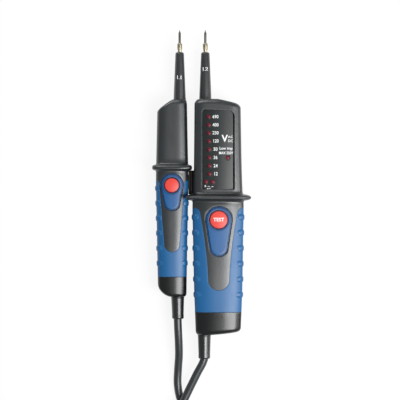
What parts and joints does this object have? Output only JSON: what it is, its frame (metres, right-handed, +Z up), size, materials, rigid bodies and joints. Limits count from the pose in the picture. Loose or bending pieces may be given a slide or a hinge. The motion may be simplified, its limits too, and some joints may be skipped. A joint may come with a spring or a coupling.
{
  "type": "two-pole voltage tester",
  "caption": "Two-pole voltage tester: a handle with a column of lamps and a test button, a second probe handle docked beside it, and one coiled lead between them.",
  "frame": {"origin": "on the bench under the middle of the tester's outline, without its free lead", "axes": "+Y along the needles, towards their points; +Z up, out of the face with the lamps; +X from the probe handle to the main handle"},
  "size_m": [0.0953, 0.4022, 0.0353],
  "materials": {
    "shell_black": "fine satin grain",
    "cap_black": "smooth, half gloss",
    "grip_blue": "soft moulded rubber, satin",
    "surround_blue": "smooth satin plastic",
    "button_red": "smooth moulded plastic",
    "panel_black": "printed film, satin",
    "lamp_red": "tinted clear resin",
    "sleeve_black": "fine satin grain",
    "brass": "turned",
    "needle_steel": "ground",
    "contact_brass": "turned",
    "board_green": "solder mask",
    "resistor_tan": "lacquered",
    "switch_black": "moulded",
    "spring_steel": "drawn wire",
    "screw_steel": "zinc plated",
    "key_black": "smooth satin plastic",
    "cradle_grey": "moulded",
    "relief_black": "smooth, half gloss",
    "lead_black": "smooth satin jacket"
  },
  "bodies": {
    "main": {"main_front_shell": "shell_black", "main_rear_shell": "shell_black", "main_tail_cap": "cap_black", "main_grip": "grip_blue", "display_panel": "panel_black", "test_surround": "surround_blue", "test_spring": "spring_steel", "test_switch": "switch_black", "main_board": "board_green", "main_resistors": "resistor_tan", "lamp_690": "lamp_red", "lamp_400": "lamp_red", "lamp_230": "lamp_red", "lamp_120": "lamp_red", "lamp_50": "lamp_red", "lamp_36": "lamp_red", "lamp_24": "lamp_red", "lamp_12": "lamp_red", "lamp_plus": "lamp_red", "lamp_minus": "lamp_red", "lamp_range": "lamp_red", "main_sleeve": "sleeve_black", "main_adapter": "brass", "main_needle": "needle_steel", "main_contact": "contact_brass", "dock_key": "key_black", "main_screws": "screw_steel", "main_relief": "relief_black", "main_lead_cradle": "cradle_grey", "main_lead_end": "lead_black", "cord_run_probe": "lead_black", "cord_coil": "lead_black", "cord_run_main": "lead_black"},
    "probe": {"probe_front_shell": "shell_black", "probe_rear_shell": "shell_black", "probe_tail_cap": "cap_black", "probe_grip": "grip_blue", "probe_surround": "surround_blue", "probe_spring": "spring_steel", "probe_switch": "switch_black", "probe_board": "board_green", "probe_resistors": "resistor_tan", "probe_sleeve": "sleeve_black", "probe_adapter": "brass", "probe_needle": "needle_steel", "probe_contact": "contact_brass", "probe_screws": "screw_steel", "probe_relief": "relief_black", "probe_lead_cradle": "cradle_grey", "probe_lead_end": "lead_black"},
    "test_button": {"test_button": "button_red"},
    "probe_button": {"probe_button": "button_red"}
  },
  "joints": [
    {"name": "test_press", "type": "slide", "parent": "main", "child": "test_button", "axis": [0, 0, -1], "range_m": [0, 0.0015], "stiffness_N_per_m": 900, "springref_m": -0.001, "deforming": ["test_spring"]},
    {"name": "probe_undock", "type": "slide", "parent": "main", "child": "probe", "axis": [-1, 0, 0], "range_m": [0, 0.015]},
    {"name": "probe_press", "type": "slide", "parent": "probe", "child": "probe_button", "axis": [0, 0, -1], "range_m": [0, 0.0015], "stiffness_N_per_m": 900, "springref_m": -0.001, "deforming": ["probe_spring"]}
  ]
}
